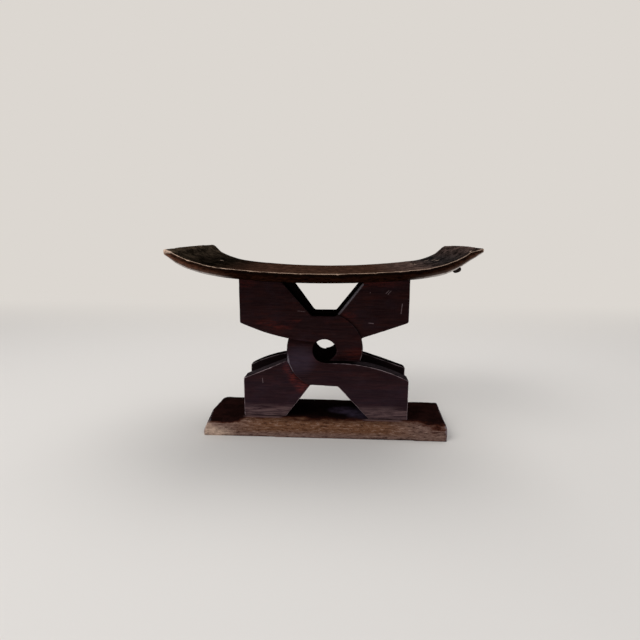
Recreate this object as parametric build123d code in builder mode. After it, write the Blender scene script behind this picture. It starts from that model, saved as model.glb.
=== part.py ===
from build123d import *
import os
from math import asin, cos, degrees, radians, sin, sqrt

# Ashanti stool: a curved seat on two knot boards that stand on a flat base.
# Millimetres. X runs along the stool, -Y is its front, Z is up from the floor.
# The origin is on the floor, under the middle of the seat.

# Seat: a board bent upwards by two tangent arcs on each side of its middle
SEAT_HALF_LENGTH = 280.5           # to a corner
SEAT_END_BOW = 4.0                 # how far each end stands out past its corners
SEAT_DEPTH = 301.0
SEAT_TOP = 343.7                   # height of the top at the middle
SEAT_THICKNESS = 15.2              # at the middle
SEAT_TOP_CURVE = (1700.0, 178.5, 211.0)       # flat radius, its half span, end radius
SEAT_UNDER_CURVE = (1700.0, 165.0, 260.0)
SEAT_CORNER_RADIUS = 4.0
SEAT_ARRIS = 1.5

# Base: a flat board, a little out of square at its ends and thinner towards the right
BASE_THICKNESS = 32.1              # at the middle
BASE_TAPER = 0.0102                # thickness lost for each millimetre to the right
BASE_DEPTHS = (141.0, 147.0)       # at the left and right ends
BASE_FRONT_ENDS = (-249.5, 255.5)
BASE_BACK_ENDS = (-242.0, 264.0)
BASE_CHIP = (9.0, 12.0)            # worn back left corner, along X and Y
BASE_BEVEL = (14.0, 100.0, 26.0)   # worn top front left corner, along X, Y and Z
BASE_FRONT_ARRIS = 11.0            # rounded by feet
BASE_END_ARRIS = 4.0
BASE_BACK_ARRIS = 2.0

# Knot boards, carved by hand and so not quite even. All that follows is measured from the middle
# of the knot, as seen from the front, with the left value before the right one.
KNOT_X = 3.0
KNOT_Z = 177.5
KNOT_RADIUS = 80.2
HOLE_RADIUS = 24.5
HOLE_RISES = (0.0, 7.2)            # of the front and rear boards' holes above the knot's middle
FRONT_FACE = -39.5
FRONT_THICKNESS = 38.0
REAR_FACE = 67.0
REAR_THICKNESS = 25.0

# Ends of the arms: where each one stops, and how far its inner edge is there from the knot's level
ARM_TIPS = ((-175.2, 57.6), (171.2, 60.9))
FRONT_FOOT_TIPS = ((-170.8, -60.9), (175.5, -61.8))
REAR_FOOT_TIPS = ((-171.4, -54.6), (178.7, -56.6))

# Inner edge of the strand that lies on top: where its sweep starts, and its slope there
UPPER_SWEEP = (24.0, 18.0, 0.085)
FRONT_LOWER_SWEEP = (30.0, 25.8, 0.0)
REAR_LOWER_SWEEP = (42.0, 21.6, 0.0)
UPPER_ROOT = 26.4                  # where the strand below leaves the ring
LOWER_ROOT = 21.5

# Openings above and below the knot: the heights and the places of the narrow edge's ends, and the
# places of the wide edge's ends, level with the seat's top or with the lowest part of the base's top
FRONT_UPPER_WINDOW = ((74.0, 74.0), (-27.0, 23.4), (-108.4, 96.2))
REAR_UPPER_WINDOW = ((71.5, 71.5), (-25.6, 22.4), (-95.2, 97.4))
LOWER_WINDOW = ((74.1, 76.8), (-28.0, 28.3), (-84.5, 95.5))

# Carving: each lobe dives under the other strand, and each arm below starts sunk at the ring
DIVE_TILT = 10.0                   # degrees, of the line where a dive begins
DIVE_BEND = 60.0                   # radius that leads into the dive
FRONT_DIVE = 25.0                  # degrees
REAR_DIVE = 16.0
SINK_DEPTH = 0.13                  # share of the thickness
SINK_RUN = 45.0
SINK_START = 10.0                  # degrees about the knot
SINK_SWEEP = 68.0

# Dowels, glued blind into both boards
FRONT_DOWEL_RADIUS = 5.0
REAR_DOWEL_RADIUS = 4.0
DOWEL_LENGTH = 36.0
SEAT_BITE = 7.0
BASE_BITE = 18.0
SEAT_DOWEL_XS = (-150.0, -115.0, 115.0, 152.0)
BASE_DOWEL_XS = (-145.0, -105.0, 118.0, 158.0)

# Peg under the right end of the seat
PEG_X = 238.0
PEG_Y = -138.0
PEG_SHANK_RADIUS = 4.0
PEG_BITE = 6.0
PEG_HEAD_RADIUS = 7.5
PEG_HEAD_HEIGHT = 6.5
PEG_HEAD_ROUNDING = 5.0

OVERRUN = 12.0                     # how far cutting outlines run past what they cut


def curve_rise(x, curve):
    """Height of a seat curve at x, above its middle."""
    flat_radius, half_span, end_radius = curve
    if abs(x) <= half_span:
        return flat_radius - sqrt(flat_radius**2 - x**2)
    start = asin(half_span / flat_radius)
    here = asin(sin(start) + (abs(x) - half_span) / end_radius)
    return flat_radius * (1 - cos(start)) + end_radius * (cos(start) - cos(here))


def curve_slope(x, curve):
    """Slope of a seat curve at x, in degrees."""
    flat_radius, half_span, end_radius = curve
    return degrees(asin(half_span / flat_radius + (x - half_span) / end_radius))


def seat_underside(x):
    """Height of the seat's underside at x."""
    return SEAT_TOP - SEAT_THICKNESS + curve_rise(x, SEAT_UNDER_CURVE)


def base_top(x):
    """Height of the base's top at x."""
    return BASE_THICKNESS - BASE_TAPER * x


def draw_seat_curve(height, curve, half_length):
    """Draw the right half of a seat curve, from the middle outwards, and return its last arc."""
    flat_radius, half_span, end_radius = curve
    flat_angle = degrees(asin(half_span / flat_radius))
    end_angle = curve_slope(half_length, curve)
    flat = JernArc((0, height), (1, 0), flat_radius, flat_angle)
    return JernArc(flat @ 1, flat % 1, end_radius, end_angle - flat_angle)


def dowels(xs, y, radius, bottoms):
    """A row of like dowels, one above each bottom."""
    with BuildPart() as row:
        with Locations(*[(x, y, bottom + DOWEL_LENGTH / 2) for x, bottom in zip(xs, bottoms)]):
            Cylinder(radius, DOWEL_LENGTH)
    return row


def sweep_edge(side, corner, sweep):
    """Inner edge of the strand on top, above (side 1) or below (side -1) the hole."""
    start, height, slope = sweep
    return TangentArc((-side * start, side * height), corner, tangent=(-side, side * slope))


def arms(side, over_tip, under_tip, end, sweep, root):
    """Add the two arms above (side 1) or below (side -1) the knot to a board's sketch."""
    with BuildLine() as outline:
        edge = sweep_edge(side, over_tip, sweep)
        Polyline(edge @ 1, (over_tip[0], end), (under_tip[0], end), under_tip,
                 (side * sqrt(KNOT_RADIUS**2 - root**2), side * root), (0, side * root), edge @ 0)
    make_face(outline.edges())


def window(side, opening, end, mirrored):
    """Cut the four-sided opening above (side 1) or below (side -1) the knot."""
    heights, narrow, wide = opening
    corners = [(x, side * z) for x, z in zip(narrow, heights)] + [(wide[1], end), (wide[0], end)]
    with BuildLine() as outline:
        Polyline(*[(mirrored * x, z) for x, z in corners], close=True)
    make_face(outline.edges(), mode=Mode.SUBTRACT)


def dive_cutter(face, side, corner, sweep, slope, thickness):
    """What is carved away from the lobe that passes under the strand on top."""
    tilt = radians(DIVE_TILT)
    rise = face.y_dir * (side * cos(tilt)) - face.x_dir * (side * sin(tilt))
    begin = face.origin - face.y_dir * (side * HOLE_RADIUS)
    profile = Plane(origin=begin, x_dir=rise, z_dir=rise.cross(face.z_dir))
    reach = 2 * KNOT_RADIUS
    with BuildPart() as cutter:
        with BuildSketch(profile):
            with BuildLine():
                bend = JernArc((0, 0), (1, 0), DIVE_BEND, -slope)
                Polyline(bend @ 1, bend @ 1 + (bend % 1) * reach, (reach, OVERRUN), (0, OVERRUN), (0, 0))
            make_face()
        extrude(amount=reach, both=True)
        with BuildSketch(face):
            with BuildLine():
                edge = sweep_edge(side, corner, sweep)
                Polyline(edge @ 1, (corner[0], -side * reach), (0, -side * reach), (0, side * sweep[1]),
                         edge @ 0)
            make_face()
            Circle(KNOT_RADIUS, mode=Mode.INTERSECT)
        extrude(amount=thickness + OVERRUN, both=True, mode=Mode.INTERSECT)
    return cutter.part


def sink_cutter(face, side, thickness):
    """What is carved away from the arm that passes under the ring, deepest at the ring."""
    start = radians(SINK_START if side > 0 else SINK_START + 180)
    radial = face.x_dir * cos(start) + face.y_dir * sin(start)
    rim = KNOT_RADIUS + SINK_RUN
    with BuildPart() as cutter:
        with BuildSketch(Plane(origin=face.origin, x_dir=radial, z_dir=radial.cross(face.z_dir))):
            with BuildLine():
                Polyline((KNOT_RADIUS, OVERRUN), (KNOT_RADIUS, -SINK_DEPTH * thickness), (rim, 0),
                         (rim, OVERRUN), close=True)
            make_face()
        revolve(axis=Axis(face.origin, face.z_dir), revolution_arc=SINK_SWEEP)
    return cutter.part


def knot_board(face_y, facing, thickness, dive, hole_rise, foot_tips, lower_sweep, upper_window, bored):
    """A knot board whose carved face is at face_y; facing is -1 for the front and 1 for the rear."""
    mirrored = -facing
    face = Plane(origin=(KNOT_X, face_y, KNOT_Z), x_dir=(mirrored, 0, 0), z_dir=(0, facing, 0))
    seat_end = SEAT_TOP - KNOT_Z
    base_end = base_top(SEAT_HALF_LENGTH) - KNOT_Z
    arm_over, arm_under = sorted((mirrored * x, z) for x, z in ARM_TIPS)
    foot_under, foot_over = sorted((mirrored * x, z) for x, z in foot_tips)
    carved = [dive_cutter(face, 1, arm_over, UPPER_SWEEP, dive, thickness),
              dive_cutter(face, -1, foot_over, lower_sweep, dive, thickness),
              sink_cutter(face, 1, thickness),
              sink_cutter(face, -1, thickness)]

    with BuildPart() as board:
        with BuildSketch(face):
            arms(1, arm_over, arm_under, seat_end, UPPER_SWEEP, UPPER_ROOT)
            arms(-1, foot_over, foot_under, base_end, lower_sweep, LOWER_ROOT)
            Circle(KNOT_RADIUS)
            with Locations((0, hole_rise)):
                Circle(HOLE_RADIUS, mode=Mode.SUBTRACT)
            window(1, upper_window, seat_end, mirrored)
            window(-1, LOWER_WINDOW, base_end, mirrored)
        extrude(amount=-thickness)
        add(leg_room.part, mode=Mode.INTERSECT)
        add(carved, mode=Mode.SUBTRACT)
        add([row.part for row in bored], mode=Mode.SUBTRACT)
    return board


# The base's long section, and the space that the knot boards stand in above it, up to the seat's
# curved underside
with BuildPart() as base_blank:
    with BuildSketch(Plane.XZ):
        Polygon((-SEAT_HALF_LENGTH, 0), (SEAT_HALF_LENGTH, 0),
                (SEAT_HALF_LENGTH, base_top(SEAT_HALF_LENGTH)),
                (-SEAT_HALF_LENGTH, base_top(-SEAT_HALF_LENGTH)), align=None)
    extrude(amount=SEAT_DEPTH, both=True)

with BuildPart() as leg_room:
    with BuildSketch(Plane.XZ):
        with BuildLine():
            under = draw_seat_curve(SEAT_TOP - SEAT_THICKNESS, SEAT_UNDER_CURVE, SEAT_HALF_LENGTH)
            Polyline(under @ 1, (SEAT_HALF_LENGTH, 0), (0, 0))
            mirror(about=Plane.YZ)
        make_face()
    extrude(amount=SEAT_DEPTH, both=True)
    add(base_blank.part, mode=Mode.SUBTRACT)

front_middle = FRONT_FACE + FRONT_THICKNESS / 2
rear_middle = REAR_FACE - REAR_THICKNESS / 2
seat_bottoms = [seat_underside(x) + SEAT_BITE - DOWEL_LENGTH for x in SEAT_DOWEL_XS]
base_bottoms = [base_top(x) - BASE_BITE for x in BASE_DOWEL_XS]
front_seat_dowels = dowels(SEAT_DOWEL_XS, front_middle, FRONT_DOWEL_RADIUS, seat_bottoms)
front_base_dowels = dowels(BASE_DOWEL_XS, front_middle, FRONT_DOWEL_RADIUS, base_bottoms)
rear_seat_dowels = dowels(SEAT_DOWEL_XS, rear_middle, REAR_DOWEL_RADIUS, seat_bottoms)
rear_base_dowels = dowels(BASE_DOWEL_XS, rear_middle, REAR_DOWEL_RADIUS, base_bottoms)

front_panel = knot_board(FRONT_FACE, -1, FRONT_THICKNESS, FRONT_DIVE, HOLE_RISES[0], FRONT_FOOT_TIPS,
                         FRONT_LOWER_SWEEP, FRONT_UPPER_WINDOW, [front_seat_dowels, front_base_dowels])
rear_panel = knot_board(REAR_FACE, 1, REAR_THICKNESS, REAR_DIVE, HOLE_RISES[1], REAR_FOOT_TIPS,
                        REAR_LOWER_SWEEP, REAR_UPPER_WINDOW, [rear_seat_dowels, rear_base_dowels])

# Peg: a shank driven square into the seat's underside, with a domed head
peg_slope = radians(curve_slope(PEG_X, SEAT_UNDER_CURVE))
peg_seat = Plane(origin=(PEG_X, PEG_Y, seat_underside(PEG_X)), x_dir=(0, 1, 0),
                 z_dir=(sin(peg_slope), 0, -cos(peg_slope)))
with BuildPart() as seat_peg:
    with BuildSketch(peg_seat):
        Circle(PEG_SHANK_RADIUS)
    extrude(amount=-PEG_BITE)
    with BuildSketch(peg_seat):
        Circle(PEG_HEAD_RADIUS)
    extrude(amount=PEG_HEAD_HEIGHT)
    rims = seat_peg.edges().filter_by(GeomType.CIRCLE)
    fillet(rims.sort_by(Axis(peg_seat.origin, peg_seat.z_dir))[-1], PEG_HEAD_ROUNDING)

# Seat: the plan of the board, cut to its curved section
with BuildPart() as seat:
    with BuildSketch() as plan:
        with BuildLine():
            end = ThreePointArc((SEAT_HALF_LENGTH, -SEAT_DEPTH / 2), (SEAT_HALF_LENGTH + SEAT_END_BOW, 0),
                                (SEAT_HALF_LENGTH, SEAT_DEPTH / 2))
            Line(end @ 0, (0, -SEAT_DEPTH / 2))
            Line(end @ 1, (0, SEAT_DEPTH / 2))
            mirror(about=Plane.YZ)
        make_face()
        corners = plan.vertices().sort_by(Axis.X)
        fillet(corners[:2] + corners[-2:], SEAT_CORNER_RADIUS)
    extrude(amount=2 * SEAT_TOP)
    with BuildSketch(Plane.XZ):
        with BuildLine():
            top = draw_seat_curve(SEAT_TOP, SEAT_TOP_CURVE, SEAT_HALF_LENGTH + OVERRUN)
            under = draw_seat_curve(SEAT_TOP - SEAT_THICKNESS, SEAT_UNDER_CURVE, SEAT_HALF_LENGTH + OVERRUN)
            Line(top @ 1, under @ 1)
            mirror(about=Plane.YZ)
        make_face()
    extrude(amount=SEAT_DEPTH, both=True, mode=Mode.INTERSECT)
    fillet(seat.edges().group_by(Axis.Y)[0] + seat.edges().group_by(Axis.Y)[-1], SEAT_ARRIS)
    add([front_seat_dowels.part, rear_seat_dowels.part, seat_peg.part], mode=Mode.SUBTRACT)

# Base: its plan cut out of the tapered blank, with worn arrises and corners
left_reach, right_reach = [depth / 2 for depth in BASE_DEPTHS]
base_corner = Vector(BASE_FRONT_ENDS[0], -left_reach, base_top(BASE_FRONT_ENDS[0]))
bevel_top = base_corner + Vector(BASE_BEVEL[0], 0, 0)
bevel_back = base_corner + Vector(0, BASE_BEVEL[1], 0) - bevel_top
bevel_front = base_corner - Vector(0, 0, BASE_BEVEL[2]) - bevel_top
with BuildPart() as base:
    with BuildSketch():
        with BuildLine():
            Polyline((BASE_FRONT_ENDS[0], -left_reach), (BASE_FRONT_ENDS[1], -right_reach),
                     (BASE_BACK_ENDS[1], right_reach), (BASE_BACK_ENDS[0] + BASE_CHIP[0], left_reach),
                     (BASE_BACK_ENDS[0], left_reach - BASE_CHIP[1]), close=True)
        make_face()
    extrude(amount=2 * BASE_THICKNESS)
    add(base_blank.part, mode=Mode.INTERSECT)
    fillet(base.faces().sort_by(Axis.Z)[-1].edges().sort_by(Axis.Y)[0], BASE_FRONT_ARRIS)
    top_edges = base.faces().sort_by(Axis.Z)[-1].edges()
    fillet(top_edges.sort_by(Axis.Y)[-1], BASE_BACK_ARRIS)
    top_edges = base.faces().sort_by(Axis.Z)[-1].edges()
    fillet([top_edges.sort_by(Axis.X)[0], top_edges.sort_by(Axis.X)[-1]], BASE_END_ARRIS)
    split(bisect_by=Plane(bevel_top, z_dir=bevel_back.cross(bevel_front)), keep=Keep.BOTTOM)
    add([front_base_dowels.part, rear_base_dowels.part], mode=Mode.SUBTRACT)

os.makedirs("parts", exist_ok=True)
pieces = {
    "seat": seat,
    "front_panel": front_panel,
    "rear_panel": rear_panel,
    "base": base,
    "seat_peg": seat_peg,
    "front_seat_dowels": front_seat_dowels,
    "front_base_dowels": front_base_dowels,
    "rear_seat_dowels": rear_seat_dowels,
    "rear_base_dowels": rear_base_dowels,
}
for name, piece in pieces.items():
    piece.part.label = name
    export_step(piece.part, f"parts/{name}.step")
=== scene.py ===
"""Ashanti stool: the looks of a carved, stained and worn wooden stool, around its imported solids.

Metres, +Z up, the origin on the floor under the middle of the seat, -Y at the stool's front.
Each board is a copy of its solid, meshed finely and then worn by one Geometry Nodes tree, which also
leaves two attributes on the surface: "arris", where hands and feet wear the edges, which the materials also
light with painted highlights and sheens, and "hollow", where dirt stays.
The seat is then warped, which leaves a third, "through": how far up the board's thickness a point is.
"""

import math

import bmesh
import bpy
import numpy as np
from bpy.props import FloatProperty, FloatVectorProperty, IntProperty, PointerProperty
from mathutils import Matrix, Vector
from mathutils.bvhtree import BVHTree


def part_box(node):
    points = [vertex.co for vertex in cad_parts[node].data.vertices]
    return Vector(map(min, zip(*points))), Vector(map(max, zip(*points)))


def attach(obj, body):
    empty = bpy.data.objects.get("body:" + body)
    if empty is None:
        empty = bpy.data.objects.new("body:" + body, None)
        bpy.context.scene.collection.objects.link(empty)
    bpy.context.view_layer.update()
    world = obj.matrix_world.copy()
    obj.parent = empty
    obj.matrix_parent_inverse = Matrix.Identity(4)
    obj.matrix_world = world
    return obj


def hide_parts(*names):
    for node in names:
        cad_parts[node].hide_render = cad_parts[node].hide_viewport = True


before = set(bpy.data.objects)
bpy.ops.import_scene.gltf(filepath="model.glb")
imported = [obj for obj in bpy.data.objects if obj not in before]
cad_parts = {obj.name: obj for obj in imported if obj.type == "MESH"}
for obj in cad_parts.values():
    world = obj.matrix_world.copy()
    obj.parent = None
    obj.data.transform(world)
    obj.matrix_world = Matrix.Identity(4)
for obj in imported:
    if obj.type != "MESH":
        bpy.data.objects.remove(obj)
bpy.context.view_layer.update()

bl_info = {
    "name": "Ashanti Stool",
    "version": (1, 0, 0),
    "blender": (4, 5, 0),
    "location": "View3D > Sidebar > Stool",
    "description": "Dresses the boards of a carved ashanti stool in worn, stained wood",
    "category": "Object",
}

MM = 0.001


# ---------------------------------------------------------------- colours

def linear(hex_colour):
    """A linear RGBA colour from an sRGB hex value such as "3A2024"."""
    channels = [int(hex_colour[i:i + 2], 16) / 255 for i in (0, 2, 4)]
    return tuple(c / 12.92 if c <= 0.04045 else ((c + 0.055) / 1.055) ** 2.4 for c in channels) + (1.0,)


def colour_property(name, hex_colour, description):
    """A colour that a user can change, with its default from an sRGB hex value."""
    return FloatVectorProperty(name=name, description=description, subtype="COLOR", size=4, min=0.0, max=1.0,
                               default=linear(hex_colour))


def length_property(name, millimetres, description):
    """A length that a user can change, with its default in millimetres."""
    return FloatProperty(name=name, description=description, default=millimetres * MM, min=0.0, unit="LENGTH",
                         precision=5)


# ---------------------------------------------------------------- settings

class STOOL_PG_wear(bpy.types.PropertyGroup):
    """How far use has rounded and marked the boards."""

    panel_mesh: length_property("Panel Mesh Size", 1.7, "Mesh spacing on the knot boards and the base")
    seat_mesh: length_property("Seat Mesh Size", 2.1, "Mesh spacing on the seat")
    peg_mesh: length_property("Peg Mesh Size", 0.5, "Mesh spacing on the seat peg")
    patch: length_property("Wear Patch", 45.0, "Length of a stretch of arris that is worn more or less")
    dent_size: length_property("Dent Size", 38.0, "Length of a dent along the grain")
    nick_size: length_property("Nick Size", 9.0, "Length of a nick in an arris")
    seed: IntProperty(name="Seed", description="Which of the possible patterns of wear is used",
                      default=7, min=0, max=1000)


class STOOL_PG_wood(bpy.types.PropertyGroup):
    """Colours and grain of the boards."""

    stain: colour_property("Stain", "1C0A0D", "Near-black stain on the knot boards")
    red_stain: colour_property("Red Stain", "361511", "Where the stain on the knot boards is thin")
    red_patch: colour_property("Red Patch", "64221A", "Where the red-brown shows most")
    violet: colour_property("Violet Stain", "251A22", "Where the stain on the knot boards is cooler")
    # Wax bloom low on the knot boards, and also a painted sheen on the strand left of the hole and on the
    # base behind the front board
    bloom_and_sheen: colour_property("Haze", "3C3240", "Bloom on old wax, low on the knot boards")
    # Painted sheen: the grey of reflected light on the top faces of the front feet
    ledge_sheen: colour_property("Ledge", "3A3134", "Dull grey along the top edges of the front feet")
    # Also painted highlights along the knot boards' arrises, besides the wood that rubbing bares
    rubbed_and_highlit: colour_property("Rubbed and Highlit Arris", "A48F92", "Wood that shows through on rubbed arrises")
    sheen: colour_property("Sheen", "8C858C", "Cool grey of a polished arris")
    dust: colour_property("Dust", "7A6160", "Dust and scuffs on the stain")
    seat_brown: colour_property("Seat", "37241B", "Stain on the middle of the seat's top")
    seat_olive: colour_property("Olive Seat", "3A3026", "Stain at the left end of the seat's top")
    seat_dusty: colour_property("Dusty Seat", "44352F", "Stain on the right of the seat's top")
    # Painted shade: the seat's top is darkened where its ends rise
    seat_left_rise_shade: colour_property("Shaded Left Seat Rise", "100C08", "Darkest stain, where the left end rises")
    seat_right_rise_shade: colour_property("Shaded Right Seat Rise", "201C1B", "Dark stain, where the right end rises")
    # Painted shade darkens the middle of the seat's front and back
    seat_edge_shaded: colour_property("Seat Edge", "190A05", "Stain on the middle of the seat's front and back")
    seat_edge_red: colour_property("Red Seat Edge", "563526", "Thinner stain on the edges near the ends")
    # Painted sheen, low on the seat's edges near its ends
    seat_low_sheen: colour_property("Seat Low Edge Sheen", "7A685E", "Greyer wood low on the seat's edges")
    # Painted highlight along the seat's top arris, over the tan of worn wood
    seat_rub_and_highlight: colour_property("Rubbed and Highlit Seat Arris", "CDAE96", "Tan wood along the seat's top arris")
    # Painted sheen along the underside's arris near the seat's ends
    seat_under_sheen: colour_property("Seat Underside Sheen", "D2CAC4", "Dry wood along the underside's arris")
    bare: colour_property("Bare Wood", "D9BCA6", "Wood with no stain left, at corners")
    # Also painted as a contact shadow along the bottom of the base
    base_stain_and_shadow: colour_property("Base Stain", "241210", "Stain left on top of the base")
    base_fringe: colour_property("Base Fringe", "482418", "Red-brown where the stain on the base thins out")
    base_worn: colour_property("Worn Base", "6E4B36", "Scuffed wood along the middle of the base's front")
    base_grey: colour_property("Grey Base", "775F57", "Scuffed wood low on the base and at its ends")
    base_light: colour_property("Light Base", "A08476", "Streaks of paler wood on the base's front")
    grain_spacing: length_property("Grain Spacing", 6.0, "From one dark band of the grain to the next")
    grain_length: length_property("Grain Length", 160.0, "Length of a band along the board")


class STOOL_PG_stage(bpy.types.PropertyGroup):
    """Floor, light and camera."""

    floor: colour_property("Floor", "DCD7D1", "Plain pale floor")
    sky: FloatProperty(name="Sky Light", description="Strength of the even light from all round",
                       default=0.6, min=0.0, max=3.0)
    lens: FloatProperty(name="Lens", description="Focal length in millimetres on a 36 mm sensor",
                        default=24.75, min=10.0, max=200.0)
    eye: FloatVectorProperty(name="Eye", description="Where the camera stands", subtype="TRANSLATION", size=3,
                             default=(0.0396, -0.9233, 0.4026), unit="LENGTH")
    turn: FloatProperty(name="Turn", description="How far the camera turns left of straight ahead",
                        default=math.radians(2.970), subtype="ANGLE", unit="ROTATION")
    tilt: FloatProperty(name="Tilt", description="How far the camera looks down",
                        default=math.radians(10.227), subtype="ANGLE", unit="ROTATION")
    roll: FloatProperty(name="Roll", description="How far the camera leans to its left",
                        default=math.radians(0.15), subtype="ANGLE", unit="ROTATION")


# ---------------------------------------------------------------- node helpers

def socket(sockets, key):
    """A node's socket by its number, or by name among those that its settings leave in use."""
    if isinstance(key, int):
        return sockets[key]
    return next(s for s in sockets if s.name == key and s.enabled)


def add_node(tree, kind, inputs=None, **settings):
    """Add a node with its own settings; inputs are values, or sockets to link, by name or number."""
    node = tree.nodes.new(kind)
    for name, value in settings.items():
        setattr(node, name, value)
    for key, value in (inputs or {}).items():
        if isinstance(value, bpy.types.NodeSocket):
            tree.links.new(value, socket(node.inputs, key))
        else:
            socket(node.inputs, key).default_value = value
    return node


def maths(tree, operation, *values, clamp=False):
    """The result of arithmetic on numbers or sockets."""
    return add_node(tree, "ShaderNodeMath", dict(enumerate(values)), operation=operation,
                    use_clamp=clamp).outputs[0]


def vector_maths(tree, operation, *values):
    """The vector that comes of arithmetic on vectors or sockets."""
    node = add_node(tree, "ShaderNodeVectorMath", dict(enumerate(values)), operation=operation)
    return node.outputs["Vector"]


def vector_number(tree, operation, *values):
    """The number that comes of arithmetic on vectors, such as a dot product."""
    node = add_node(tree, "ShaderNodeVectorMath", dict(enumerate(values)), operation=operation)
    return node.outputs["Value"]


def eased(tree, value, low, high, to_low=0.0, to_high=1.0):
    """A value eased from to_low at low to to_high at high, and level beyond them."""
    sockets = {"Value": value, "From Min": low, "From Max": high, "To Min": to_low, "To Max": to_high}
    node = add_node(tree, "ShaderNodeMapRange", sockets, interpolation_type="SMOOTHSTEP")
    return node.outputs["Result"]


def mixed(tree, share, first, second):
    """Two colours mixed by share."""
    node = add_node(tree, "ShaderNodeMix", {"Factor": share, "A": first, "B": second}, data_type="RGBA")
    return socket(node.outputs, "Result")


def noise(tree, place, pitch, detail=3.0, rough=0.5, seed=0.0):
    """Noise about 0.5 whose features are pitch metres across, one number or one for each axis."""
    sizes = pitch if isinstance(pitch, tuple) else (pitch,) * 3
    scaled = vector_maths(tree, "MULTIPLY", place, tuple(1 / s for s in sizes))
    inputs = {"Vector": scaled, "W": seed, "Scale": 1.0, "Detail": detail, "Roughness": rough}
    return add_node(tree, "ShaderNodeTexNoise", inputs, noise_dimensions="4D").outputs[0]


# ---------------------------------------------------------------- worn boards

# How far a surface has to stand out from, or lie below, its smoothed self to be a full arris or hollow
ARRIS_BULGE = 0.7 * MM
HOLLOW_BULGE = 0.7 * MM

# The wear tree's inputs: kind of socket and default. Passes are rounds of smoothing, light and heavy
# where the arrises are kept or worn, and a third that arrises and hollows are measured against.
WEAR_INPUTS = {
    "Light Passes": ("NodeSocketInt", 1),
    "Heavy Passes": ("NodeSocketInt", 4),
    "Mark Passes": ("NodeSocketInt", 5),
    "Patch": ("NodeSocketFloat", 0.045),
    "Dent Depth": ("NodeSocketFloat", 0.0004),
    "Dent Size": ("NodeSocketFloat", 0.04),
    "Nick Depth": ("NodeSocketFloat", 0.001),
    "Nick Size": ("NodeSocketFloat", 0.009),
    "Seed": ("NodeSocketInt", 0),
    "Wood": ("NodeSocketMaterial", None),
}


def wear_tree():
    """The Geometry Nodes tree that rounds, dents and nicks a board, and marks its arrises and hollows."""
    tree = bpy.data.node_groups.new("Worn Board", "GeometryNodeTree")
    tree.interface.new_socket("Board", in_out="INPUT", socket_type="NodeSocketGeometry")
    for name, (kind, default) in WEAR_INPUTS.items():
        made = tree.interface.new_socket(name, in_out="INPUT", socket_type=kind)
        if default is not None:
            made.default_value = default
    tree.interface.new_socket("Board", in_out="OUTPUT", socket_type="NodeSocketGeometry")

    given = add_node(tree, "NodeGroupInput").outputs
    place = add_node(tree, "GeometryNodeInputPosition").outputs[0]
    normal = add_node(tree, "GeometryNodeInputNormal").outputs[0]
    free = add_node(tree, "GeometryNodeInputNamedAttribute", {"Name": "free"}, data_type="FLOAT").outputs[0]
    seed = maths(tree, "MULTIPLY", given["Seed"], 1.7)

    def blurred(passes):
        node = add_node(tree, "GeometryNodeBlurAttribute",
                        {"Value": place, "Iterations": passes, "Weight": free}, data_type="FLOAT_VECTOR")
        return socket(node.outputs, "Value")

    def random_at(size, stretch, offset, detail):
        pitch = add_node(tree, "ShaderNodeVectorMath", {0: stretch, "Scale": size},
                         operation="SCALE").outputs[0]
        inputs = {"Vector": vector_maths(tree, "DIVIDE", place, pitch), "Scale": 1.0, "Detail": detail,
                  "W": maths(tree, "ADD", seed, offset)}
        return add_node(tree, "ShaderNodeTexNoise", inputs, noise_dimensions="4D").outputs[0]

    light = blurred(given["Light Passes"])
    heavy = blurred(given["Heavy Passes"])
    level = blurred(given["Mark Passes"])
    bulge = vector_number(tree, "DOT_PRODUCT", vector_maths(tree, "SUBTRACT", light, level), normal)
    arris = maths(tree, "DIVIDE", bulge, ARRIS_BULGE, clamp=True)
    hollow = maths(tree, "DIVIDE", bulge, -HOLLOW_BULGE, clamp=True)

    even, along_grain = (1.0, 1.0, 1.0), (1.0, 0.45, 0.45)
    use = eased(tree, random_at(given["Patch"], even, 0.0, 2.0), 0.35, 0.65)
    rounded = add_node(tree, "ShaderNodeMix", {"Factor": use, "A": light, "B": heavy}, data_type="VECTOR")
    dents = maths(tree, "SUBTRACT", random_at(given["Dent Size"], along_grain, 11.0, 1.0), 0.5)
    dent = maths(tree, "MULTIPLY", maths(tree, "MINIMUM", dents, 0.0), given["Dent Depth"])
    nicks = eased(tree, random_at(given["Nick Size"], even, 23.0, 3.0), 0.6, 0.7)
    nick = maths(tree, "MULTIPLY", maths(tree, "MULTIPLY", nicks, arris), given["Nick Depth"])
    lift = maths(tree, "MULTIPLY", maths(tree, "SUBTRACT", dent, nick), free)
    shift = add_node(tree, "ShaderNodeVectorMath", {0: normal, "Scale": lift}, operation="SCALE").outputs[0]
    moved = vector_maths(tree, "ADD", socket(rounded.outputs, "Result"), shift)

    board = given["Board"]
    for name, value in (("arris", arris), ("hollow", hollow)):
        board = add_node(tree, "GeometryNodeStoreNamedAttribute",
                         {"Geometry": board, "Name": name, "Value": value}).outputs[0]
    board = add_node(tree, "GeometryNodeSetPosition", {"Geometry": board, "Position": moved}).outputs[0]
    board = add_node(tree, "GeometryNodeSetShadeSmooth", {"Geometry": board}).outputs[0]
    board = add_node(tree, "GeometryNodeRealizeInstances", {"Geometry": board}).outputs[0]
    board = add_node(tree, "GeometryNodeSetMaterial",
                     {"Geometry": board, "Material": given["Wood"]}).outputs[0]
    add_node(tree, "NodeGroupOutput", {"Board": board})
    return tree


def show(piece):
    """Put a new object into the scene and return it."""
    bpy.context.scene.collection.objects.link(piece)
    return piece


def plain_mesh(piece):
    """Turn what a piece's modifiers make into its own mesh, and remove them."""
    bpy.context.view_layer.update()
    made = bpy.data.meshes.new_from_object(piece.evaluated_get(bpy.context.evaluated_depsgraph_get()))
    piece.modifiers.clear()
    piece.data = made
    return piece


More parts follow.
